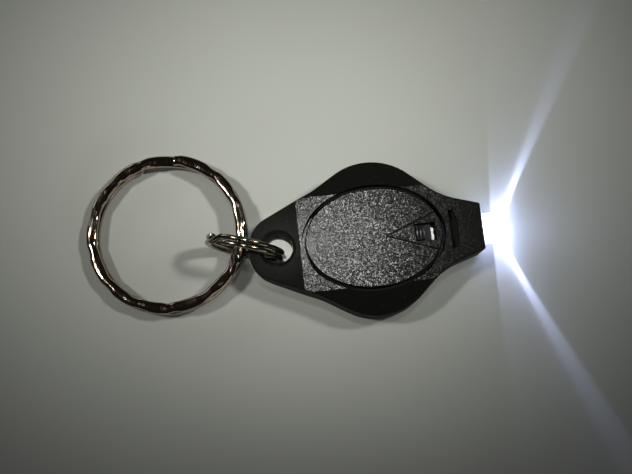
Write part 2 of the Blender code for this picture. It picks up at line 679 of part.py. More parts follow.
def make_cell(name, low):
    """A button cell: a can with a crimped wall, a gasket inside the wall, and a cap that the gasket holds."""
    top = low + CELL_HEIGHT
    rim = top - CELL_CRIMP_DROP
    inner = CELL_RADIUS - CELL_WALL
    floor = low + CELL_FLOOR
    can = [
        (0.0, floor), (0.0, low), (CELL_RADIUS - CELL_ROUNDING, low), (CELL_RADIUS, low + CELL_ROUNDING),
        (CELL_RADIUS, rim), (inner, rim), (inner, floor),
    ]
    can.reverse()
    gasket_outer = inner - GASKET_CLEARANCE
    gasket_inner = gasket_outer - GASKET_WALL
    gasket_low = floor + GASKET_CLEARANCE
    gasket = [
        (gasket_outer, rim), (gasket_outer, gasket_low), (gasket_inner, gasket_low), (gasket_inner, rim),
    ]
    cap_radius = gasket_inner - GASKET_CLEARANCE
    cap = [
        (0.0, top), (cap_radius - CELL_ROUNDING, top), (cap_radius, top - CELL_ROUNDING),
        (cap_radius, gasket_low), (0.0, gasket_low),
    ]
    steel = (0.62, 0.61, 0.58)
    finish_part(turned("can", can, steps=48), f"{name}_can", steel, 0.25, 1.0)
    finish_part(turned("gasket", gasket, steps=48), f"{name}_gasket", (0.1, 0.1, 0.1), 0.6)
    finish_part(turned("cap", cap, steps=48), f"{name}_cap", steel, 0.3, 1.0)


# LED

def turned_along_x(name, profile, start_x, steps=32):
    """A turned piece whose heights run along +X from start_x, on the LED's axis."""
    obj = turned(name, profile, steps)
    turn = Matrix.Rotation(math.radians(90.0), 4, "Y")
    obj.data.transform(Matrix.Translation((start_x, 0.0, PARTING_Z)) @ turn)
    return obj


def make_lens():
    """A round body with a flange and a domed tip; the leads enter a pocket in its rear."""
    dome_steps = 8
    dome_base = LED_LENGTH - LED_RADIUS
    dome = [
        (
            LED_RADIUS * math.sin(math.pi / 2 * index / dome_steps),
            dome_base + LED_RADIUS * math.cos(math.pi / 2 * index / dome_steps),
        )
        for index in range(dome_steps + 1)
    ]
    body = [
        (LED_RADIUS, LED_FLANGE_LENGTH), (LED_FLANGE_RADIUS, LED_FLANGE_LENGTH),
        (LED_FLANGE_RADIUS, 0.0), (LENS_POCKET_RADIUS, 0.0),
        (LENS_POCKET_RADIUS, LENS_POCKET_DEPTH), (0.0, LENS_POCKET_DEPTH),
    ]
    lens = turned_along_x("lens", dome + body, LED_BASE_X)
    finish_part(lens, "led_lens", (0.9, 0.93, 1.0), 0.05)


def wire(name, places):
    """A round wire through a few places, with closed ends."""
    curve = bpy.data.curves.new(name, "CURVE")
    curve.dimensions = "3D"
    curve.bevel_depth = LEAD_RADIUS
    curve.bevel_resolution = 2
    curve.use_fill_caps = True
    spline = curve.splines.new("POLY")
    spline.points.add(len(places) - 1)
    for point, place in zip(spline.points, places):
        point.co = (*place, 1.0)
    obj = bpy.data.objects.new(name, curve)
    CUTTERS.objects.link(obj)
    return as_mesh(obj)


def cup_mouth_x():
    return LED_BASE_X + LENS_POCKET_DEPTH - 2 * LED_CLEARANCE


def make_cathode_lead():
    """From under the lower cell, up the nose channel, to the cup that holds the die."""
    cup_rear = cup_mouth_x() - CUP_DEPTH
    side = CUP_REAR_RADIUS / 2
    lead = wire(
        "lead",
        [
            (LEAD_END_X, LEAD_SPREAD, LOWER_LEAD_Z),
            (LEAD_BEND_X - LEAD_BEND_RUN, LEAD_SPREAD, LOWER_LEAD_Z),
            (LEAD_BEND_X, LEAD_SPREAD, PARTING_Z),
            (cup_rear - MM, LEAD_SPREAD, PARTING_Z),
            (cup_rear - MM / 2, side, PARTING_Z),
            (cup_rear + CUP_DEPTH / 2, side, PARTING_Z),
        ],
    )
    hollow_depth = CUP_DEPTH - CUP_FLOOR
    cup = cylinder(
        "cup", (cup_rear, 0.0, PARTING_Z), (1, 0, 0), CUP_REAR_RADIUS, CUP_DEPTH, CUP_MOUTH_RADIUS, steps=24
    )
    hollow = cylinder(
        "hollow", (cup_mouth_x() - hollow_depth, 0.0, PARTING_Z), (1, 0, 0), CUP_REAR_RADIUS * 0.75,
        hollow_depth + 0.1 * MM, CUP_MOUTH_RADIUS * 0.9, steps=24,
    )
    lead = cut(join(lead, cup), hollow)
    finish_part(lead, "led_cathode_lead", (0.75, 0.74, 0.7), 0.3, 1.0)


def make_anode_lead():
    """From over the upper cell, down the nose channel, to a post beside the cup."""
    lead = wire(
        "lead",
        [
            (LEAD_END_X, -LEAD_SPREAD, UPPER_LEAD_Z),
            (LEAD_BEND_X - LEAD_BEND_RUN, -LEAD_SPREAD, UPPER_LEAD_Z),
            (LEAD_BEND_X, -LEAD_SPREAD, PARTING_Z),
            (cup_mouth_x(), -LEAD_SPREAD, PARTING_Z),
        ],
    )
    finish_part(lead, "led_anode_lead", (0.75, 0.74, 0.7), 0.3, 1.0)


def make_die():
    low_x = cup_mouth_x() - CUP_DEPTH + CUP_FLOOR + DIE_GAP
    half = DIE_WIDTH / 2
    die = box(
        "die",
        (low_x, -half, PARTING_Z - half),
        (low_x + DIE_THICKNESS, half, PARTING_Z + half),
    )
    finish_part(die, "led_die", (0.8, 0.8, 0.3), 0.4)


# Split rings

def coil_profile(name, width, height, steps=12):
    """A flat wire's section with well-rounded corners."""
    curve = bpy.data.curves.new(name, "CURVE")
    curve.dimensions = "2D"
    curve.fill_mode = "NONE"
    spline = curve.splines.new("POLY")
    spline.points.add(steps - 1)
    squareness = 0.6
    for index, point in enumerate(spline.points):
        turn = 2 * math.pi * (index + 0.5) / steps
        x = math.copysign(abs(math.cos(turn)) ** squareness, math.cos(turn))
        y = math.copysign(abs(math.sin(turn)) ** squareness, math.sin(turn))
        point.co = (x * width / 2, y * height / 2, 0.0, 1.0)
    spline.use_cyclic_u = True
    obj = bpy.data.objects.new(name, curve)
    CUTTERS.objects.link(obj)
    return obj


def split_ring(name, radius, width, height, gap, start, steps, marks=0):
    """A flat wire wound for two turns less a gap; it climbs from one turn to the next inside the gap."""
    curve = bpy.data.curves.new(name, "CURVE")
    curve.dimensions = "3D"
    curve.twist_mode = "Z_UP"
    curve.bevel_mode = "OBJECT"
    section = coil_profile("section", width, height)
    curve.bevel_object = section
    curve.use_fill_caps = True
    total = 4 * math.pi - COIL_END_GAP
    pitch = height + gap
    climb_start = 2 * math.pi - COIL_END_GAP * 0.9
    climb_end = 2 * math.pi - COIL_END_GAP * 0.1
    mean_radius = radius - width / 2
    spline = curve.splines.new("POLY")
    count = 2 * steps
    spline.points.add(count)
    for index, point in enumerate(spline.points):
        along = total * index / count
        climbed = min(max((along - climb_start) / (climb_end - climb_start), 0.0), 1.0)
        height_now = (climbed - 0.5) * pitch
        mark = HAMMER_DEPTH * (0.5 + 0.5 * math.cos(marks * along)) if marks else 0.0
        turn = start + along
        point.co = (mean_radius * math.cos(turn), mean_radius * math.sin(turn), height_now, 1.0)
        point.radius = 1.0 - mark
    obj = bpy.data.objects.new(name, curve)
    CUTTERS.objects.link(obj)
    ring = as_mesh(obj)
    bpy.data.objects.remove(section, do_unlink=True)
    return ring


def place_on_joint(obj, placing, pivot):
    """Puts a ring in its place and its origin on its joint's axis."""
    obj.data.transform(Matrix.Translation(pivot).inverted() @ placing)
    obj.location = pivot


def small_ring_centre():
    return Vector((SMALL_RING_X, SMALL_RING_Y, SMALL_RING_RADIUS))


def small_ring_y_at(x):
    return SMALL_RING_Y + (x - SMALL_RING_X) * math.tan(SMALL_RING_YAW)


def make_small_ring():
    """It stands on edge through the lug's hole."""
    ring = split_ring(
        "small_split_ring", SMALL_RING_RADIUS, SMALL_WIRE_WIDTH, SMALL_WIRE_HEIGHT, SMALL_COIL_GAP,
        math.radians(150.0), 44,
    )
    placing = (
        Matrix.Translation(small_ring_centre())
        @ Matrix.Rotation(SMALL_RING_YAW, 4, "Z")
        @ Matrix.Rotation(math.radians(90.0), 4, "X")
    )
    place_on_joint(ring, placing, small_ring_centre())
    finish_part(ring, "small_split_ring", (0.5, 0.48, 0.42), 0.2, 1.0)


def link_point():
    """The middle of the large ring's band where it passes through the small ring, clear of the lug."""
    x = LUG_END_X - RING_LINK_CLEARANCE - LARGE_WIRE_WIDTH / 2
    reach = (SMALL_RING_X - x) / math.cos(SMALL_RING_YAW) + LARGE_WIRE_WIDTH / 2
    floor = SMALL_RING_RADIUS - math.sqrt(SMALL_RING_INNER_RADIUS ** 2 - reach ** 2)
    z = floor + RING_LINK_CLEARANCE / 2 + LARGE_WIRE_HEIGHT + LARGE_COIL_GAP / 2
    return Vector((x, small_ring_y_at(x), z))


def make_large_ring():
    """It lies on the ground at its far side, and is lifted where it passes through the small ring."""
    ring = split_ring(
        "large_split_ring", LARGE_RING_RADIUS, LARGE_WIRE_WIDTH, LARGE_WIRE_HEIGHT, LARGE_COIL_GAP,
        math.radians(106.0) - LARGE_RING_YAW, 78, marks=HAMMER_MARKS,
    )
    reach = LARGE_RING_RADIUS - LARGE_WIRE_WIDTH / 2
    lying_z = LARGE_WIRE_HEIGHT + LARGE_COIL_GAP / 2
    tilt = math.asin((link_point().z - lying_z) / (2 * reach))
    placing = (
        Matrix.Translation(link_point())
        @ Matrix.Rotation(LARGE_RING_YAW, 4, "Z")
        @ Matrix.Rotation(-tilt, 4, "Y")
        @ Matrix.Translation((-reach, 0.0, 0.0))
    )
    place_on_joint(ring, placing, link_point())
    finish_part(ring, "large_split_ring", (0.55, 0.5, 0.43), 0.18, 1.0)


def main():
    make_top_shell()
    make_bottom_shell()
    make_screws()
    make_press_pad()
    make_switch_slider()
    make_cell("lower_cell", LOWER_CELL_Z)
    make_cell("upper_cell", UPPER_CELL_Z)
    make_lens()
    make_cathode_lead()
    make_anode_lead()
    make_die()
    make_small_ring()
    make_large_ring()


main()
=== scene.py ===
"""Finish for a keychain squeeze light: case, pad, slide switch, lit LED and two split rings.

Laid out as an add-on and run as a script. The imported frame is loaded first, so that sizes can come from it.
"""

import json
import math

import bmesh
import bpy
from bpy.props import FloatProperty, FloatVectorProperty, IntProperty, PointerProperty
from mathutils import Matrix, Vector, noise


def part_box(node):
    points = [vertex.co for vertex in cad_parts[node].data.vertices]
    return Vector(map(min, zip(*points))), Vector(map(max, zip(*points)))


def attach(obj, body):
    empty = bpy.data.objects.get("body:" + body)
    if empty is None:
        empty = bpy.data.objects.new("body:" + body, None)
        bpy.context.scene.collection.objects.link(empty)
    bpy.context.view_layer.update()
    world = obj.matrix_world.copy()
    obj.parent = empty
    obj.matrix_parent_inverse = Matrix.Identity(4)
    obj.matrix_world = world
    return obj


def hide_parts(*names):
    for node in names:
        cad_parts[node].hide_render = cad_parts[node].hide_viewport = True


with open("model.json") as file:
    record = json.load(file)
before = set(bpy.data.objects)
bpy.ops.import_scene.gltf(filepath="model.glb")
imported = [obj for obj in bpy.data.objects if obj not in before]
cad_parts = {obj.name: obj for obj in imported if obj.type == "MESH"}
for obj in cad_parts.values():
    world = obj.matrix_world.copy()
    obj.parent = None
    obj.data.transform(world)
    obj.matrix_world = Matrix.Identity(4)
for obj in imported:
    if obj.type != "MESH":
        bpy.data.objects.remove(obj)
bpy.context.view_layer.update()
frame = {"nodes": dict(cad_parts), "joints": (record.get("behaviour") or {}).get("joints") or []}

bl_info = {
    "name": "Keychain light finish",
    "version": (1, 0, 0),
    "blender": (4, 5, 0),
    "location": "View3D > Sidebar > Keychain light",
    "description": "Builds the visible pieces and materials of a keychain squeeze light around its frame",
    "category": "Object",
}

MM = 0.001
WELD = 0.00001 * MM

# Shells and pad
CREASE_EASING = 0.9 * MM
CREASE_TURNS = (5.0, 24.0)
SHARP_TURN = 28.0
PAD_EDGE_SHARE = 0.8
GRAIN_DEPTH = 0.003 * MM
GRAIN_TILT = 0.09
RECESS_DULLING = 0.6
DUST_STRENGTH = 0.35
DUST = (0.16, 0.15, 0.13)
PIT_FLOOR_DROP = 0.25 * MM
GROOVE_FLOOR_DROP = 0.12 * MM

# Switch and screws
SWITCH_WELL_DROP = 0.2 * MM
SWITCH_EDGE = 0.05 * MM
SCREW_EDGE = 0.06 * MM
SCREW_TURN = 50.0

# LED
FLANGE_OVERHANG = 0.4 * MM
FLANGE_LENGTH = 1.0 * MM
FLANGE_ROUNDING = 0.12 * MM
POCKET_WALL = 0.6 * MM
POCKET_DEPTH = 4.4 * MM
LENS_FADE = 4.5 * MM
BEAM_SETBACK = 2.0 * MM
BEAM_DRIFT = -0.06

# Rings
END_GAP = math.radians(27.0)
COIL_GAP = 0.1 * MM
WIRE_SQUARENESS = 0.78
WIRE_END_EDGE = 0.06 * MM
SMALL_WIRE = (1.1 * MM, 0.8 * MM)
SMALL_START = math.radians(150.0)
LARGE_RADIUS = 13.25 * MM
LARGE_WIRE = (1.9 * MM, 1.3 * MM)
LARGE_START = math.radians(106.0)
PLATING_STAIN = (0.2, 0.17, 0.13)
PLATING_SCRATCH_DEPTH = 0.004 * MM

# Stage
FLOOR_DROP = 0.02 * MM
LAMP_REACH = 0.49
LAMP_SPREAD = 0.058
SHEEN_REACH = 0.61
SHEEN_SPREAD = 0.034
WARM_WHITE = (1.0, 1.0, 0.96)
COOL_WHITE = (0.94, 0.97, 1.0)
CAMERA_PLACE = (-0.0134, -0.02377, 0.1644)
CAMERA_AZIMUTH = math.radians(9.57)
CAMERA_ELEVATION = math.radians(80.9)
CAMERA_ROLL = math.radians(3.22)
CAMERA_LENS = 56.96


def low(node):
    """The lowest corner of a node's box."""
    return Vector(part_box(node)[0])


def high(node):
    """The highest corner of a node's box."""
    return Vector(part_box(node)[1])


def middle(node):
    """The middle of a node's box."""
    return (low(node) + high(node)) / 2


# Settings

class CaseSettings(bpy.types.PropertyGroup):
    plastic: FloatVectorProperty(
        name="Plastic", description="Colour of the moulded case", subtype="COLOR",
        default=(0.008, 0.008, 0.007), min=0.0, max=1.0,
    )
    grain: FloatProperty(
        name="Grain size", description="Width of one pip of the moulded texture",
        default=0.15 * MM, unit="LENGTH", min=0.02 * MM, max=MM,
    )
    edge: FloatProperty(
        name="Edge rounding", description="Radius on the sharp edges of the shells",
        default=0.09 * MM, unit="LENGTH", min=0.01 * MM, max=0.2 * MM,
    )
    switch: FloatVectorProperty(
        name="Switch", description="Colour of the smooth slide switch", subtype="COLOR",
        default=(0.012, 0.012, 0.016), min=0.0, max=1.0,
    )


class RingSettings(bpy.types.PropertyGroup):
    nickel: FloatVectorProperty(
        name="Nickel", description="Colour of the large ring's plating", subtype="COLOR",
        default=(0.42, 0.34, 0.27), min=0.0, max=1.0,
    )
    small_nickel: FloatVectorProperty(
        name="Small ring nickel", description="Colour of the small ring's plating", subtype="COLOR",
        default=(0.3, 0.28, 0.21), min=0.0, max=1.0,
    )
    marks: IntProperty(
        name="Hammer marks", description="Hammer marks in one turn of the large ring",
        default=13, min=0, max=40,
    )
    mark_depth: FloatProperty(
        name="Mark depth", description="How deep the hammer presses into the wire",
        default=0.2 * MM, unit="LENGTH", min=0.0, max=0.4 * MM,
    )


class LightSettings(bpy.types.PropertyGroup):
    glow: FloatVectorProperty(
        name="Glow", description="Colour of the LED's light", subtype="COLOR",
        default=(0.52, 0.58, 1.0), min=0.0, max=1.0,
    )
    lens_strength: FloatProperty(
        name="Lens glow", description="How strongly the lens glows", default=2.0, min=0.0, max=100.0
    )
    beam_power: FloatProperty(
        name="Beam power", description="Power of the beam that the LED throws", unit="POWER",
        default=0.032, min=0.0, max=10.0,
    )


class StageSettings(bpy.types.PropertyGroup):
    floor: FloatVectorProperty(
        name="Floor", description="Colour of the surface under the light", subtype="COLOR",
        default=(0.62, 0.64, 0.6), min=0.0, max=1.0,
    )
    floor_size: FloatProperty(
        name="Floor size", description="Side of the square floor", default=0.8, unit="LENGTH",
        min=0.2, max=5.0,
    )
    key_power: FloatProperty(
        name="Lamps", description="Power of each of the two soft lamps", default=4.1, unit="POWER",
        min=0.0, max=50.0,
    )
    room: FloatProperty(
        name="Room light", description="Strength of the dim light from all round", default=0.012,
        min=0.0, max=2.0,
    )


def settings():
    return bpy.context.scene.keychain_light


class LightFinish(bpy.types.PropertyGroup):
    case: PointerProperty(type=CaseSettings)
    rings: PointerProperty(type=RingSettings)
    light: PointerProperty(type=LightSettings)
    stage: PointerProperty(type=StageSettings)


# Node helpers

def add(tree, kind, place=(0, 0), **values):
    """A node with its properties and, by socket name, its unlinked input values."""
    node = tree.nodes.new(kind)
    node.location = place
    for key, value in values.items():
        if hasattr(node, key) and key not in node.inputs:
            setattr(node, key, value)
        else:
            node.inputs[key].default_value = value
    return node


def connect(tree, *pairs):
    for source, target in pairs:
        tree.links.new(source, target)


def math_node(tree, operation, a, b=None, clamp=False):
    node = tree.nodes.new("ShaderNodeMath")
    node.operation = operation
    node.use_clamp = clamp
    for socket, value in zip(node.inputs, (a, b)):
        if value is None:
            continue
        if hasattr(value, "links"):
            tree.links.new(value, socket)
        else:
            socket.default_value = value
    return node.outputs[0]


def ramp(tree, source, start, end, colours=((0, 0, 0, 1), (1, 1, 1, 1))):
    node = tree.nodes.new("ShaderNodeValToRGB")
    node.color_ramp.elements[0].position = start
    node.color_ramp.elements[1].position = end
    node.color_ramp.elements[0].color = colours[0]
    node.color_ramp.elements[1].color = colours[1]
    tree.links.new(source, node.inputs["Fac"])
    return node.outputs["Color"]


def mix_colour(tree, mask, first, second):
    node = tree.nodes.new("ShaderNodeMix")
    node.data_type = "RGBA"
    slots = {"Factor": mask, "A": first, "B": second}
    for socket in node.inputs:
        if socket.name not in slots or not socket.enabled:
            continue
        value = slots[socket.name]
        if hasattr(value, "links"):
            tree.links.new(value, socket)
        elif socket.type == "RGBA":
            socket.default_value = (*value[:3], 1.0)
        elif isinstance(value, float):
            socket.default_value = value
    return next(socket for socket in node.outputs if socket.enabled)


def new_group(name, inputs, outputs):
    """A shader node group with its sockets; inputs are (name, type, default)."""
    group = bpy.data.node_groups.new(name, "ShaderNodeTree")
    for title, kind, default in inputs:
        socket = group.interface.new_socket(title, in_out="INPUT", socket_type=kind)
        socket.default_value = default
    for title, kind in outputs:
        group.interface.new_socket(title, in_out="OUTPUT", socket_type=kind)
    entry = group.nodes.new("NodeGroupInput")
    leave = group.nodes.new("NodeGroupOutput")
    return group, entry.outputs, leave.inputs


def use_group(tree, group, **values):
    node = tree.nodes.new("ShaderNodeGroup")
    node.node_tree = group
    for key, value in values.items():
        socket = node.inputs[key.replace("_", " ")]
        if hasattr(value, "links"):
            tree.links.new(value, socket)
        else:
            socket.default_value = value
    return node


def object_place(tree):
    return add(tree, "ShaderNodeTexCoord", (-1400, 0)).outputs["Object"]


def new_material(name, **values):
    """A material with its Principled shader's plain values set; returns it, its tree and its shader."""
    made = bpy.data.materials.new(name)
    made.use_nodes = True
    tree = made.node_tree
    shader = tree.nodes["Principled BSDF"]
    for key, value in values.items():
        shader.inputs[key.replace("_", " ")].default_value = value
    return made, tree, shader


def bump(tree, height, strength, distance, normal=None):
    node = add(tree, "ShaderNodeBump", Strength=strength, Distance=distance)
    connect(tree, (height, node.inputs["Height"]))
    if normal is not None:
        connect(tree, (normal, node.inputs["Normal"]))
    return node.outputs["Normal"]


# Shared effects

def shared(name, build):
    """A node group by name; it is built the first time that a material asks for it."""
    return bpy.data.node_groups.get(name) or build(name)


def build_grain_and_glints(name):
    """Fine moulded pips: a height for the bump, a mask of the highest pips that the plastic lightens as a
    painted glint, and a normal tilted on each.
    """
    group, given, made = new_group(
        name,
        [("Position", "NodeSocketVector", (0, 0, 0)), ("Size", "NodeSocketFloat", 0.2 * MM),
         ("Tilt", "NodeSocketFloat", 0.1)],
        [("Height", "NodeSocketFloat"), ("Painted pip glints", "NodeSocketFloat"), ("Facets", "NodeSocketVector")],
    )
    scale = math_node(group, "DIVIDE", 1.0, given["Size"])
    cells = add(group, "ShaderNodeTexVoronoi", feature="F1")
    drift = add(group, "ShaderNodeTexNoise", Detail=1.0, Roughness=0.5)
    wide = math_node(group, "MULTIPLY", scale, 0.45)
    connect(
        group,
        (given["Position"], cells.inputs["Vector"]), (scale, cells.inputs["Scale"]),
        (given["Position"], drift.inputs["Vector"]), (wide, drift.inputs["Scale"]),
    )
    pip = math_node(group, "SUBTRACT", 1.0, cells.outputs["Distance"], clamp=True)
    height = math_node(group, "MULTIPLY", pip, drift.outputs["Fac"])
    # The highest pips, which the plastic lightens in colour as a painted glint.
    pips = ramp(group, height, 0.36, 0.56)
    upright = add(group, "ShaderNodeNewGeometry")
    centred = add(group, "ShaderNodeVectorMath", operation="SUBTRACT")
    centred.inputs[1].default_value = (0.5, 0.5, 0.5)
    lean = add(group, "ShaderNodeVectorMath", operation="SCALE")
    leaning = add(group, "ShaderNodeVectorMath", operation="ADD")
    facet = add(group, "ShaderNodeVectorMath", operation="NORMALIZE")
    connect(
        group,
        (cells.outputs["Color"], centred.inputs[0]), (centred.outputs["Vector"], lean.inputs[0]),
        (given["Tilt"], lean.inputs["Scale"]), (lean.outputs["Vector"], leaning.inputs[0]),
        (upright.outputs["Normal"], leaning.inputs[1]), (leaning.outputs["Vector"], facet.inputs[0]),
        (facet.outputs["Vector"], made["Facets"]), (height, made["Height"]), (pips, made["Painted pip glints"]),
    )
    return group


def build_recess(name):
    """A mask of what lies below a level, forward of a place: floors of grooves and pits."""
    group, given, made = new_group(
        name,
        [("Position", "NodeSocketVector", (0, 0, 0)), ("Level", "NodeSocketFloat", 0.0),
         ("From", "NodeSocketFloat", -1.0)],
        [("Recess", "NodeSocketFloat")],
    )
    split = add(group, "ShaderNodeSeparateXYZ")
    connect(group, (given["Position"], split.inputs["Vector"]))
    below = math_node(group, "LESS_THAN", split.outputs["Z"], given["Level"])
    ahead = math_node(group, "GREATER_THAN", split.outputs["X"], given["From"])
    connect(group, (math_node(group, "MULTIPLY", below, ahead), made["Recess"]))
    return group


def build_walls(name):
    """A mask of the upright faces, where the mould leaves a duller skin."""
    group, _, made = new_group(name, [], [("Walls", "NodeSocketFloat")])
    facing = add(group, "ShaderNodeTexCoord")
    split = add(group, "ShaderNodeSeparateXYZ")
    connect(group, (facing.outputs["Normal"], split.inputs["Vector"]))
    steep = math_node(group, "ABSOLUTE", split.outputs["Z"])
    level = ramp(group, steep, 0.25, 0.55, ((1, 1, 1, 1), (0, 0, 0, 1)))
    connect(group, (level, made["Walls"]))
    return group


def build_handling(name):
    """Soft patches where fingers have polished or greased a surface."""
    group, given, made = new_group(
        name,
        [("Position", "NodeSocketVector", (0, 0, 0)), ("Scale", "NodeSocketFloat", 120.0)],
        [("Patches", "NodeSocketFloat"), ("Dust", "NodeSocketFloat")],
    )
    patches = add(group, "ShaderNodeTexNoise", Detail=4.0, Roughness=0.55, Distortion=0.6)
    specks = add(group, "ShaderNodeTexVoronoi", feature="F1")
    fine = math_node(group, "MULTIPLY", given["Scale"], 9.0)
    connect(
        group,
        (given["Position"], patches.inputs["Vector"]), (given["Scale"], patches.inputs["Scale"]),
        (given["Position"], specks.inputs["Vector"]), (fine, specks.inputs["Scale"]),
    )
    soft = ramp(group, patches.outputs["Fac"], 0.35, 0.7)
    dots = math_node(group, "LESS_THAN", specks.outputs["Distance"], 0.09)
    dust = math_node(group, "MULTIPLY", dots, soft)
    connect(group, (soft, made["Patches"]), (dust, made["Dust"]))
    return group


def build_edge_wear(name):
    """A broken line of rubbed edge, on the faces that a piece marks as rounded."""
    group, given, made = new_group(
        name,
        [("Position", "NodeSocketVector", (0, 0, 0)), ("Scale", "NodeSocketFloat", 900.0)],
        [("Wear", "NodeSocketFloat")],
    )
    rounded = add(group, "ShaderNodeAttribute", attribute_name="edge")
    breaks = add(group, "ShaderNodeTexNoise", Detail=5.0, Roughness=0.65)
    connect(
        group,
        (given["Position"], breaks.inputs["Vector"]), (given["Scale"], breaks.inputs["Scale"]),
    )
    broken = ramp(group, breaks.outputs["Fac"], 0.42, 0.62)
    wear = math_node(group, "MULTIPLY", rounded.outputs["Fac"], broken)
    connect(group, (wear, made["Wear"]))
    return group


def build_plating(name):
    """Worn plating: long fine scratches, and stains that dull it."""
    group, given, made = new_group(
        name,
        [("Position", "NodeSocketVector", (0, 0, 0)), ("Scale", "NodeSocketFloat", 400.0)],
        [("Scratches", "NodeSocketFloat"), ("Stains", "NodeSocketFloat")],
    )
    stretch = add(group, "ShaderNodeMapping", Scale=(9.0, 0.8, 5.0), Rotation=(0.0, 0.0, 0.6))
    scratch = add(group, "ShaderNodeTexNoise", Detail=6.0, Roughness=0.7)
    stain = add(group, "ShaderNodeTexNoise", Detail=5.0, Roughness=0.6, Distortion=0.8)
    connect(
        group,
        (given["Position"], stretch.inputs["Vector"]),
        (stretch.outputs["Vector"], scratch.inputs["Vector"]),
        (given["Scale"], scratch.inputs["Scale"]),
        (given["Position"], stain.inputs["Vector"]),
        (given["Scale"], stain.inputs["Scale"]),
    )
    lines = ramp(group, scratch.outputs["Fac"], 0.48, 0.58)
    dull = ramp(group, stain.outputs["Fac"], 0.5, 0.72)
    connect(group, (lines, made["Scratches"]), (dull, made["Stains"]))
    return group


# Materials

def moulded_plastic(name, colour, grain, level, start, rough):
    """Black plastic with moulded grain, painted glints lightening the colour of the highest pips, rubbed
    edges, a little dust, and dull recesses and upright walls.
    """
    made, tree, shader = new_material(name, Specular_IOR_Level=0.26)
    place = object_place(tree)
    pips = use_group(tree, shared("Moulded grain and painted glints", build_grain_and_glints), Position=place, Size=grain, Tilt=GRAIN_TILT)
    hands = use_group(tree, shared("Handling", build_handling), Position=place, Scale=130.0)
    edges = use_group(tree, shared("Edge wear", build_edge_wear), Position=place, Scale=900.0)
    recess = use_group(tree, shared("Recess", build_recess), Position=place, Level=level, From=start)
    lighter = tuple(min(channel * 2.6, 1.0) for channel in colour)
    worn = mix_colour(tree, edges.outputs["Wear"], colour, lighter)
    # Painted glints: the highest pips are lightened in colour, standing in for the sparkle of light on the
    # grain.
    glint_painted = mix_colour(tree, pips.outputs["Painted pip glints"], worn, tuple(channel * 1.5 for channel in colour))
    dust = math_node(tree, "MULTIPLY", hands.outputs["Dust"], DUST_STRENGTH)
    connect(tree, (mix_colour(tree, dust, glint_painted, DUST), shader.inputs["Base Color"]))
    spread = math_node(tree, "MULTIPLY", hands.outputs["Patches"], rough[1] - rough[0])
    polish = math_node(tree, "ADD", spread, rough[0])
    upright = use_group(tree, shared("Walls", build_walls))
    hidden = math_node(tree, "MAXIMUM", recess.outputs["Recess"], upright.outputs["Walls"])
    dulled = math_node(tree, "MULTIPLY", hidden, RECESS_DULLING)
    connect(tree, (math_node(tree, "ADD", polish, dulled), shader.inputs["Roughness"]))
    normal = bump(tree, pips.outputs["Height"], 1.0, GRAIN_DEPTH, pips.outputs["Facets"])
    connect(tree, (normal, shader.inputs["Normal"]))
    return made


def smooth_plastic(name, colour, level=-1.0):
    """Polished plastic with faint handling marks, dull below a level."""
    made, tree, shader = new_material(name, Specular_IOR_Level=0.6)
    place = object_place(tree)
    hands = use_group(tree, shared("Handling", build_handling), Position=place, Scale=700.0)
    edges = use_group(tree, shared("Edge wear", build_edge_wear), Position=place, Scale=1500.0)
    lighter = tuple(min(channel * 6.0, 1.0) for channel in colour)
    worn = mix_colour(tree, edges.outputs["Wear"], colour, lighter)
    connect(tree, (worn, shader.inputs["Base Color"]))
    recess = use_group(tree, shared("Recess", build_recess), Position=place, Level=level)
    dulled = math_node(tree, "MULTIPLY", recess.outputs["Recess"], 0.5)
    spread = math_node(tree, "MULTIPLY", hands.outputs["Patches"], 0.15)
    polish = math_node(tree, "ADD", spread, 0.12)
    connect(tree, (math_node(tree, "ADD", polish, dulled), shader.inputs["Roughness"]))
    return made


def plated_metal(name, colour, rough, scale, amount=0.5):
    """Plated or bare metal with scratches and stains."""
    made, tree, shader = new_material(name, Metallic=1.0)
    place = object_place(tree)
    worn = use_group(tree, shared("Plating", build_plating), Position=place, Scale=scale)
    edges = use_group(tree, shared("Edge wear", build_edge_wear), Position=place, Scale=scale * 2)
    stains = math_node(tree, "MULTIPLY", worn.outputs["Stains"], amount)
    base = mix_colour(tree, stains, colour, PLATING_STAIN)
    bright = tuple(min(channel * 1.3, 1.0) for channel in colour)
    connect(tree, (mix_colour(tree, edges.outputs["Wear"], base, bright), shader.inputs["Base Color"]))
    duller = math_node(tree, "MULTIPLY", worn.outputs["Stains"], 0.12)
    lined = math_node(tree, "MULTIPLY", worn.outputs["Scratches"], 0.07)
    rougher = math_node(tree, "ADD", duller, lined)
    connect(tree, (math_node(tree, "ADD", rougher, rough), shader.inputs["Roughness"]))
    scratched = bump(tree, worn.outputs["Scratches"], 0.25, PLATING_SCRATCH_DEPTH)
    connect(tree, (scratched, shader.inputs["Normal"]))
    return made


def lit_epoxy(name, colour, strength):
    """Clear epoxy that the die inside lights up; it glows least round its flange."""
    made, tree, shader = new_material(
        name, Metallic=0.0, Transmission_Weight=0.35, IOR=1.5, Emission_Strength=strength,
    )
    place = object_place(tree)
    split = add(tree, "ShaderNodeSeparateXYZ")
    swirl = add(tree, "ShaderNodeTexNoise", Scale=500.0, Detail=2.0)
    connect(tree, (place, split.inputs["Vector"]), (place, swirl.inputs["Vector"]))
    along = add(tree, "ShaderNodeMapRange")
    along.inputs["From Min"].default_value = low("led_lens").x
    along.inputs["From Max"].default_value = low("led_lens").x + LENS_FADE
    connect(tree, (split.outputs["X"], along.inputs["Value"]))
    glow = mix_colour(tree, along.outputs["Result"], (0.3, 0.36, 0.5), colour)
    cloud = mix_colour(tree, swirl.outputs["Fac"], (0.92, 0.95, 1.0), (0.82, 0.88, 1.0))
    haze = math_node(tree, "MULTIPLY", swirl.outputs["Fac"], 0.12)
    connect(
        tree,
        (glow, shader.inputs["Emission Color"]), (cloud, shader.inputs["Base Color"]),
        (haze, shader.inputs["Roughness"]),
    )
    return made


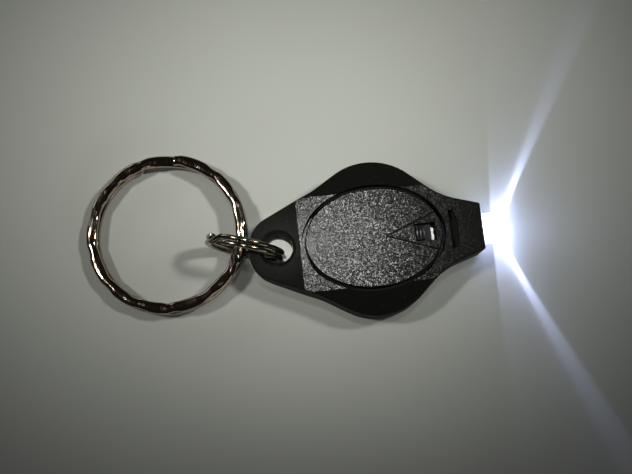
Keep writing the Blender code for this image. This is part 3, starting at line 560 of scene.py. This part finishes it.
def glowing_die(name):
    made, tree, shader = new_material(name, Emission_Strength=4.0, Roughness=0.5)
    cells = add(tree, "ShaderNodeTexVoronoi", Scale=9000.0)
    connect(tree, (object_place(tree), cells.inputs["Vector"]))
    tint = mix_colour(tree, cells.outputs["Distance"], (0.95, 0.9, 0.35), (0.85, 0.7, 0.15))
    connect(tree, (tint, shader.inputs["Base Color"]), (tint, shader.inputs["Emission Color"]))
    return made


def floor_surface(name, colour):
    """Matt pale board with faint mottling."""
    made, tree, shader = new_material(name, Specular_IOR_Level=0.25)
    place = object_place(tree)
    mottle = add(tree, "ShaderNodeTexNoise", Scale=60.0, Detail=8.0, Roughness=0.6)
    fibre = add(tree, "ShaderNodeTexNoise", Scale=2500.0, Detail=2.0)
    connect(tree, (place, mottle.inputs["Vector"]), (place, fibre.inputs["Vector"]))
    darker = tuple(channel * 0.94 for channel in colour)
    connect(tree, (mix_colour(tree, mottle.outputs["Fac"], darker, colour), shader.inputs["Base Color"]))
    rough = math_node(tree, "MULTIPLY", fibre.outputs["Fac"], 0.2)
    connect(tree, (math_node(tree, "ADD", rough, 0.55), shader.inputs["Roughness"]))
    connect(tree, (bump(tree, fibre.outputs["Fac"], 0.15, 0.03 * MM), shader.inputs["Normal"]))
    return made


# Mesh helpers

def new_piece(mesh, name, material, body, nodes, smooth=32.0):
    """Makes a piece from a bmesh at the origin, on its body, standing for its CAD nodes."""
    if not mesh.faces:
        raise RuntimeError(f"{name} came out empty")
    data = bpy.data.meshes.new(name)
    mesh.to_mesh(data)
    mesh.free()
    data.materials.append(material)
    data.shade_smooth()
    data.set_sharp_from_angle(angle=math.radians(smooth))
    piece = bpy.data.objects.new(name, data)
    bpy.context.scene.collection.objects.link(piece)
    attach(piece, body)
    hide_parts(*nodes)
    return piece


def welded_copy(node):
    """A CAD node's mesh as a bmesh, with its triangles merged into whole flat faces."""
    mesh = bmesh.new()
    mesh.from_mesh(frame["nodes"][node].data)
    bmesh.ops.remove_doubles(mesh, verts=mesh.verts, dist=WELD)
    bmesh.ops.dissolve_limit(
        mesh, angle_limit=math.radians(0.4), verts=mesh.verts, edges=mesh.edges
    )
    mesh.faces.layers.float.new("edge")
    mesh.normal_update()
    return mesh


def turn_of(edge):
    """How far the surface turns at an edge, in degrees."""
    return math.degrees(edge.calc_face_angle(0.0))


def round_edges(mesh, width, least, most=181.0, segments=2, worn=True):
    """Bevels the edges whose turn lies between two angles, and marks the new faces for edge wear."""
    chosen = []
    for edge in mesh.edges:
        if least <= turn_of(edge) < most:
            chosen.append(edge)
    made = bmesh.ops.bevel(
        mesh, geom=chosen, offset=width, offset_type="OFFSET", affect="EDGES", segments=segments,
        profile=0.5, material=-1, clamp_overlap=True,
    )
    if worn:
        for face in made["faces"]:
            face[mesh.faces.layers.float["edge"]] = 1.0


def even_normals(piece):
    """Keeps large flat faces flat beside their rounded edges."""
    modifier = piece.modifiers.new("Even normals", "WEIGHTED_NORMAL")
    modifier.keep_sharp = True
    modifier.weight = 90


# Pieces

def shell_piece(node, material, edge):
    """A moulded shell: its soft creases are eased widely and its sharp edges finely."""
    mesh = welded_copy(node)
    round_edges(mesh, CREASE_EASING, *CREASE_TURNS, segments=6, worn=False)
    round_edges(mesh, edge, SHARP_TURN, segments=2)
    piece = new_piece(mesh, f"{node}_moulded", material, "case", [node])
    even_normals(piece)
    return piece


def lens_profile(mesh, segments):
    """Half of the lens's section in the XZ plane, as a chain of edges from its tip to its rear."""
    foot = low("led_lens").x
    tip = high("led_lens").x
    axis = middle("led_lens").z
    flange = (high("led_lens").z - low("led_lens").z) / 2
    body = flange - FLANGE_OVERHANG
    pocket = body - POCKET_WALL
    shoulder = foot + FLANGE_LENGTH
    bottom = foot + POCKET_DEPTH
    places = []
    for index in range(segments + 1):
        turn = math.pi / 2 * index / segments
        places.append((tip - body + body * math.cos(turn), body * math.sin(turn)))
    places += [
        (shoulder + FLANGE_ROUNDING, body), (shoulder, body + FLANGE_ROUNDING),
        (shoulder, flange - FLANGE_ROUNDING), (shoulder - FLANGE_ROUNDING, flange),
        (foot + FLANGE_ROUNDING, flange), (foot, flange - FLANGE_ROUNDING),
        (foot, pocket), (bottom, pocket), (bottom, 0.0),
    ]
    chain = [mesh.verts.new((x, 0.0, axis + radius)) for x, radius in places]
    return [mesh.edges.new(pair) for pair in zip(chain, chain[1:])]


def make_lens(material):
    mesh = bmesh.new()
    profile = lens_profile(mesh, 18)
    bmesh.ops.spin(
        mesh, geom=profile + mesh.verts[:], cent=(0.0, 0.0, middle("led_lens").z), axis=(1.0, 0.0, 0.0),
        dvec=(0.0, 0.0, 0.0), angle=math.tau, steps=64, use_merge=True, use_duplicate=False,
    )
    bmesh.ops.remove_doubles(mesh, verts=mesh.verts, dist=0.0005 * MM)
    bmesh.ops.recalc_face_normals(mesh, faces=mesh.faces)
    lens = new_piece(mesh, "led_lens_glowing", material, "case", ["led_lens"], smooth=50.0)
    lens.visible_shadow = False
    return lens


def flat_wire(mesh, radius, width, height, start, level):
    """The rounded section of a ring's wire, as a closed ring of edges at its start."""
    section = bmesh.ops.create_circle(mesh, cap_ends=False, segments=20, radius=1.0)["verts"]
    for vert in section:
        turn = math.atan2(vert.co.y, vert.co.x)
        across = math.copysign(abs(math.cos(turn)) ** WIRE_SQUARENESS, math.cos(turn)) * width / 2
        up = math.copysign(abs(math.sin(turn)) ** WIRE_SQUARENESS, math.sin(turn)) * height / 2
        reach = radius - width / 2 + across
        vert.co = (reach * math.cos(start), reach * math.sin(start), level + up)
    return section


def wound_ring(radius, width, height, start, steps):
    """A flat wire wound for two turns less a gap, climbing one wire's height inside the gap."""
    mesh = bmesh.new()
    pitch = height + COIL_GAP
    section = flat_wire(mesh, radius, width, height, start, -pitch / 2)
    geometry = section + mesh.edges[:]
    flat = math.tau - 0.9 * END_GAP
    climb = 0.8 * END_GAP
    last = 2 * math.tau - END_GAP - flat - climb
    for angle, rise in ((flat, 0.0), (climb, pitch), (last, 0.0)):
        count = max(round(steps * angle / math.tau), 6)
        result = bmesh.ops.spin(
            mesh, geom=geometry, cent=(0.0, 0.0, 0.0), axis=(0.0, 0.0, 1.0),
            dvec=(0.0, 0.0, rise / count), angle=angle, steps=count, use_duplicate=False,
        )
        geometry = result["geom_last"]
    bmesh.ops.holes_fill(mesh, edges=mesh.edges, sides=0)
    bmesh.ops.recalc_face_normals(mesh, faces=mesh.faces)
    ends = [edge for edge in mesh.edges if edge.calc_face_angle(0.0) > math.radians(60.0)]
    bmesh.ops.bevel(
        mesh, geom=ends, offset=WIRE_END_EDGE, offset_type="OFFSET", affect="EDGES", segments=2,
        profile=0.5, material=-1, clamp_overlap=True,
    )
    return mesh


def hammer(mesh, radius, width, pitch, start, marks, depth):
    """Presses facets into the upper turn, along its outer and its inner rim by turns."""
    middle_radius = radius - width / 2
    for vert in mesh.verts:
        if vert.co.z < 0.12 * pitch:
            continue
        turn = math.atan2(vert.co.y, vert.co.x) - start
        shake = 0.5 * noise.noise(Vector((math.cos(turn), math.sin(turn), 0.3)) * 2.3)
        reach = math.hypot(vert.co.x, vert.co.y)
        side = (reach - middle_radius) / (width / 2)
        beat = math.cos(marks * turn + 2.2 * shake)
        inner = math.cos(marks * turn + 2.2 * shake + 1.3)
        press = depth * (max(beat, 0.0) ** 1.5 * max(side, 0.0) - max(inner, 0.0) ** 1.5 * max(-side, 0.0))
        flatten = 0.35 * depth * max(-beat, 0.0) * max(1.0 - abs(side), 0.0)
        vert.co.x -= press * math.cos(turn + start)
        vert.co.y -= press * math.sin(turn + start)
        vert.co.z -= flatten + 0.4 * abs(press)


def joint_place(joint):
    """A hinge's point, and the turn about Z that brings the Y axis onto it."""
    found = next(item for item in frame["joints"] if item["name"] == joint)
    axis = found["axis"]
    return Vector(found["pos_m"]), -math.atan2(axis[0], axis[1])


def small_ring(material):
    pivot, yaw = joint_place("small_ring_turn")
    mesh = wound_ring(pivot.z, *SMALL_WIRE, SMALL_START, 90)
    place = Matrix.Translation(pivot) @ Matrix.Rotation(yaw, 4, "Z") @ Matrix.Rotation(math.pi / 2, 4, "X")
    mesh.transform(place)
    return new_piece(
        mesh, "small_ring_plated", material, "small_ring", ["small_split_ring"], smooth=50.0
    )


def large_ring(material, marks, depth):
    width, height = LARGE_WIRE
    pivot, yaw = joint_place("large_ring_swing")
    start = LARGE_START - yaw
    reach = LARGE_RADIUS - width / 2
    lean = math.asin((pivot.z - height - COIL_GAP / 2) / (2 * reach))
    mesh = wound_ring(LARGE_RADIUS, width, height, start, 260)
    hammer(mesh, LARGE_RADIUS, width, height + COIL_GAP, start, marks, depth)
    place = (
        Matrix.Translation(pivot)
        @ Matrix.Rotation(yaw, 4, "Z")
        @ Matrix.Rotation(-lean, 4, "Y")
        @ Matrix.Translation((-reach, 0.0, 0.0))
    )
    mesh.transform(place)
    return new_piece(
        mesh, "large_ring_hammered", material, "large_ring", ["large_split_ring"],
        smooth=50.0,
    )


# Stage

def make_floor(size, colour):
    mesh = bmesh.new()
    bmesh.ops.create_grid(mesh, x_segments=8, y_segments=8, size=size / 2)
    bmesh.ops.translate(mesh, vec=(0.0, 0.0, -FLOOR_DROP), verts=mesh.verts)
    data = bpy.data.meshes.new("floor")
    mesh.to_mesh(data)
    mesh.free()
    data.materials.append(floor_surface("Pale board", colour))
    floor = bpy.data.objects.new("floor", data)
    bpy.context.scene.collection.objects.link(floor)


def make_light(name, kind, place, power, colour, aim=None, **values):
    data = bpy.data.lights.new(name, kind)
    data.energy = power
    data.color = colour
    for key, value in values.items():
        setattr(data, key, value)
    light = bpy.data.objects.new(name, data)
    light.location = place
    if aim is not None:
        light.rotation_euler = (Vector(aim) - Vector(place)).to_track_quat("-Z", "Y").to_euler()
    bpy.context.scene.collection.objects.link(light)
    return light


def shape_beam(data):
    """Puts most of a spot's light near the edge of its cone, as a clear LED's own rim does."""
    data.use_nodes = True
    tree = data.node_tree
    emission = tree.nodes["Emission"]
    place = add(tree, "ShaderNodeTexCoord")
    unit = add(tree, "ShaderNodeVectorMath", operation="NORMALIZE")
    split = add(tree, "ShaderNodeSeparateXYZ")
    connect(
        tree,
        (place.outputs["Normal"], unit.inputs[0]), (unit.outputs["Vector"], split.inputs["Vector"]),
    )
    facing = math_node(tree, "ABSOLUTE", split.outputs["Z"])
    profile = add(tree, "ShaderNodeFloatCurve")
    points = profile.mapping.curves[0].points
    points[0].location = (0.0, 0.12)
    points[1].location = (1.0, 0.08)
    between = ((0.25, 0.15), (0.37, 0.3), (0.43, 0.95), (0.465, 1.0), (0.51, 0.15), (0.7, 0.05))
    for cosine, strength in between:
        points.new(cosine, strength)
    profile.mapping.update()
    connect(tree, (facing, profile.inputs["Value"]))
    connect(tree, (profile.outputs["Value"], emission.inputs["Strength"]))


def make_beam(power, colour):
    tip = high("led_lens").x
    axis = middle("led_lens").z
    beam = make_light(
        "led_beam", "SPOT", (tip - BEAM_SETBACK, 0.0, axis), power, colour, aim=(tip + 1.0, BEAM_DRIFT, axis),
        spot_size=math.radians(179.0), spot_blend=0.05, shadow_soft_size=0.1 * MM,
    )
    shape_beam(beam.data)


def make_camera():
    """Above the case and a little towards its lower side, turned slightly clockwise."""
    ahead = Vector((
        math.sin(CAMERA_AZIMUTH) * math.cos(CAMERA_ELEVATION),
        math.cos(CAMERA_AZIMUTH) * math.cos(CAMERA_ELEVATION),
        -math.sin(CAMERA_ELEVATION),
    ))
    above = Vector((
        math.sin(CAMERA_AZIMUTH) * math.sin(CAMERA_ELEVATION),
        math.cos(CAMERA_AZIMUTH) * math.sin(CAMERA_ELEVATION),
        math.cos(CAMERA_ELEVATION),
    ))
    right = ahead.cross(above)
    across = right * math.cos(CAMERA_ROLL) + above * math.sin(CAMERA_ROLL)
    upward = above * math.cos(CAMERA_ROLL) - right * math.sin(CAMERA_ROLL)
    data = bpy.data.cameras.new("camera")
    data.lens = CAMERA_LENS
    data.sensor_width = 36.0
    data.clip_start = 0.01
    camera = bpy.data.objects.new("camera", data)
    turn = Matrix((across, upward, -ahead)).transposed().to_4x4()
    camera.matrix_world = Matrix.Translation(CAMERA_PLACE) @ turn
    bpy.context.scene.collection.objects.link(camera)
    bpy.context.scene.camera = camera


def dim_room(strength, colour):
    world = bpy.data.worlds.new("Dim room")
    world.use_nodes = True
    background = world.node_tree.nodes["Background"]
    background.inputs["Color"].default_value = (*colour, 1.0)
    background.inputs["Strength"].default_value = strength
    bpy.context.scene.world = world


def finish_node(node, material):
    """Gives a CAD node that stays as it is a better material."""
    slots = frame["nodes"][node].material_slots
    if not slots:
        raise RuntimeError(f"{node} has no material slot")
    for slot in slots:
        slot.material = material


# Operators

class CaseOperator(bpy.types.Operator):
    """Build the two moulded shells of the case"""

    bl_idname = "keychain_light.case"
    bl_label = "Case shells"

    def execute(self, context):
        case = settings().case
        plastic = moulded_plastic(
            "Case plastic", tuple(case.plastic), case.grain,
            level=high("top_shell").z - PIT_FLOOR_DROP, start=high("press_pad").x, rough=(0.17, 0.18),
        )
        shell_piece("top_shell", plastic, case.edge)
        shell_piece("bottom_shell", plastic, case.edge)
        return {"FINISHED"}


class PadOperator(bpy.types.Operator):
    """Build the oval press pad with its arrow grooves"""

    bl_idname = "keychain_light.pad"
    bl_label = "Press pad"

    def execute(self, context):
        case = settings().case
        plastic = moulded_plastic(
            "Pad plastic", tuple(case.plastic), case.grain,
            level=high("press_pad").z - GROOVE_FLOOR_DROP, start=low("press_pad").x, rough=(0.16, 0.166),
        )
        mesh = welded_copy("press_pad")
        round_edges(mesh, case.edge * PAD_EDGE_SHARE, SHARP_TURN, segments=2)
        piece = new_piece(mesh, "press_pad_moulded", plastic, "pad", ["press_pad"])
        even_normals(piece)
        return {"FINISHED"}


class SwitchOperator(bpy.types.Operator):
    """Build the ribbed slide switch"""

    bl_idname = "keychain_light.switch"
    bl_label = "Slide switch"

    def execute(self, context):
        case = settings().case
        plastic = smooth_plastic(
            "Switch plastic", tuple(case.switch), high("switch_slider").z - SWITCH_WELL_DROP
        )
        mesh = welded_copy("switch_slider")
        round_edges(mesh, SWITCH_EDGE, SHARP_TURN, segments=3)
        piece = new_piece(
            mesh, "switch_slider_polished", plastic, "slider", ["switch_slider"]
        )
        even_normals(piece)
        return {"FINISHED"}


class ScrewOperator(bpy.types.Operator):
    """Build the four case screws"""

    bl_idname = "keychain_light.screws"
    bl_label = "Case screws"

    def execute(self, context):
        steel = plated_metal("Screw steel", (0.5, 0.5, 0.52), rough=0.24, scale=900.0)
        for node in sorted(name for name in frame["nodes"] if name.startswith("case_screw")):
            mesh = welded_copy(node)
            round_edges(mesh, SCREW_EDGE, SCREW_TURN, segments=3)
            piece = new_piece(mesh, f"{node}_turned", steel, "case", [node])
            even_normals(piece)
        return {"FINISHED"}


class LensOperator(bpy.types.Operator):
    """Build the lit LED's lens, and finish its die and leads"""

    bl_idname = "keychain_light.lens"
    bl_label = "LED"

    def execute(self, context):
        light = settings().light
        make_lens(lit_epoxy("Lit epoxy", tuple(light.glow), light.lens_strength))
        finish_node("led_die", glowing_die("Glowing die"))
        tinned = plated_metal("Tinned wire", (0.72, 0.71, 0.67), rough=0.22, scale=1500.0)
        finish_node("led_anode_lead", tinned)
        finish_node("led_cathode_lead", tinned)
        return {"FINISHED"}


class CellOperator(bpy.types.Operator):
    """Finish the two button cells inside the case"""

    bl_idname = "keychain_light.cells"
    bl_label = "Button cells"

    def execute(self, context):
        can = plated_metal("Cell can", (0.6, 0.59, 0.56), rough=0.2, scale=250.0, amount=0.3)
        cap = plated_metal("Cell cap", (0.63, 0.62, 0.6), rough=0.28, scale=600.0, amount=0.25)
        gasket = smooth_plastic("Gasket nylon", (0.05, 0.05, 0.055))
        for level in ("upper", "lower"):
            finish_node(f"{level}_cell_can", can)
            finish_node(f"{level}_cell_cap", cap)
            finish_node(f"{level}_cell_gasket", gasket)
        return {"FINISHED"}


class RingOperator(bpy.types.Operator):
    """Wind the small plain ring and the large hammered ring"""

    bl_idname = "keychain_light.rings"
    bl_label = "Split rings"

    def execute(self, context):
        rings = settings().rings
        small_ring(plated_metal("Small ring nickel", tuple(rings.small_nickel), rough=0.09, scale=500.0))
        nickel = plated_metal("Hammered nickel", tuple(rings.nickel), rough=0.06, scale=350.0)
        large_ring(nickel, rings.marks, rings.mark_depth)
        return {"FINISHED"}


class StageOperator(bpy.types.Operator):
    """Lay the floor and set up the lights and the camera"""

    bl_idname = "keychain_light.stage"
    bl_label = "Stage"

    def execute(self, context):
        light = settings().light
        stage = settings().stage
        make_floor(stage.floor_size, tuple(stage.floor))
        make_light(
            "sheen", "SPOT", (0.01, 0.092, 0.6), stage.key_power * 0.38, WARM_WHITE, aim=(-0.003, 0.001, 0.0),
            spot_size=2 * math.atan(SHEEN_SPREAD / SHEEN_REACH), spot_blend=1.0, shadow_soft_size=0.015,
        )
        for name, place in (("near_rim", (0.22, -0.34, 0.17)), ("far_rim", (-0.3, 0.3, 0.16))):
            make_light(
                name, "AREA", place, stage.key_power * 0.03, COOL_WHITE, aim=(0.0, 0.0, 0.0),
                shape="RECTANGLE", size=0.3, size_y=0.06,
            )
        for name, place in (("left_lamp", (-0.27, 0.08, 0.4)), ("right_lamp", (0.27, 0.08, 0.4))):
            make_light(
                name, "SPOT", place, stage.key_power, (1.0, 1.0, 0.93), aim=(-0.011, 0.022, 0.0),
                spot_size=2 * math.atan(LAMP_SPREAD / LAMP_REACH), spot_blend=1.0, shadow_soft_size=0.032,
            )
        make_light(
            "hole_light", "SPOT", (-0.02, -0.01, 0.3), stage.key_power * 1.2, WARM_WHITE,
            aim=(-0.0152, 0.001, 0.0), spot_size=math.radians(1.3), spot_blend=0.5, shadow_soft_size=0.004,
        )
        make_beam(light.beam_power, tuple(light.glow))
        dim_room(stage.room, (1.0, 0.95, 0.88))
        context.scene.view_settings.view_transform = "Standard"
        make_camera()
        return {"FINISHED"}


OPERATORS = (
    CaseOperator, PadOperator, SwitchOperator, ScrewOperator, LensOperator, CellOperator, RingOperator,
    StageOperator,
)


class FinishPanel(bpy.types.Panel):
    """The steps of the finish, in order"""

    bl_idname = "VIEW3D_PT_keychain_light"
    bl_label = "Keychain light"
    bl_space_type = "VIEW_3D"
    bl_region_type = "UI"
    bl_category = "Keychain light"

    def draw(self, context):
        column = self.layout.column()
        for operator in OPERATORS:
            column.operator(operator.bl_idname)
        for group in (settings().case, settings().rings, settings().light, settings().stage):
            box = self.layout.box()
            for name in group.__annotations__:
                box.prop(group, name)


CLASSES = (CaseSettings, RingSettings, LightSettings, StageSettings, LightFinish, *OPERATORS, FinishPanel)


def register():
    for item in CLASSES:
        bpy.utils.register_class(item)
    bpy.types.Scene.keychain_light = PointerProperty(type=LightFinish)


def unregister():
    del bpy.types.Scene.keychain_light
    for item in reversed(CLASSES):
        bpy.utils.unregister_class(item)


def main():
    register()
    for operator in OPERATORS:
        group, name = operator.bl_idname.split(".")
        getattr(getattr(bpy.ops, group), name)()


if __name__ == "__main__":
    main()
